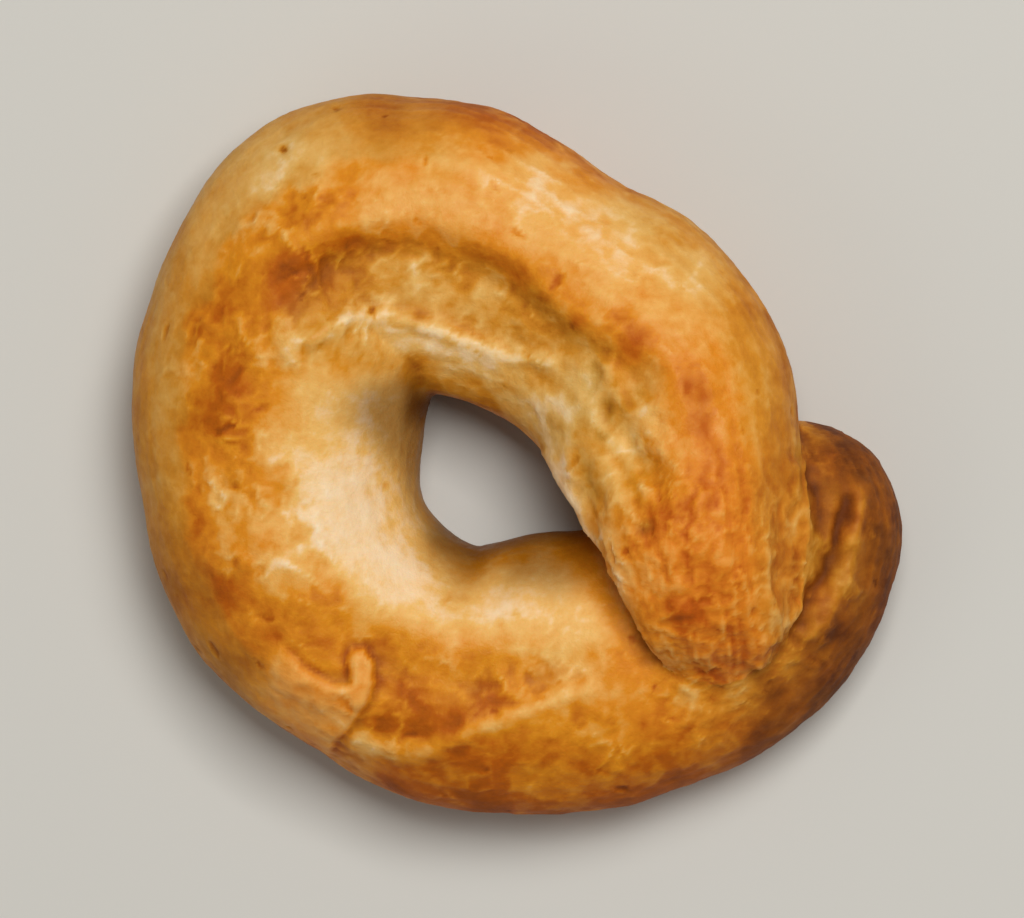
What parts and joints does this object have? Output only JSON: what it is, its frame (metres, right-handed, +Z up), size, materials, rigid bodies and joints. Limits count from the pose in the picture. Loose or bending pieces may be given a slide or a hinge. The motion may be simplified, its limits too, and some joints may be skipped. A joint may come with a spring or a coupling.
{
  "type": "tarallo",
  "caption": "Small baked ring cracker: one thick rope of dough bent into a ring, its two ends crossed and pressed together, on a flat baked foot.",
  "frame": {"origin": "middle of the tarallo's outline seen from above, on the plane that its baked foot lies on", "axes": "+Z up from the foot; +X along the longest extent, from the ring's closed side towards the crossing and the tail; +Y from the near strand to the folded far strand"},
  "size_m": [0.0402, 0.0378, 0.0147],
  "materials": {
    "baked_dough": "golden brown baked crust, half matt, paler inside the ring"
  },
  "bodies": {
    "root": {"tarallo": "baked_dough"}
  },
  "joints": []
}
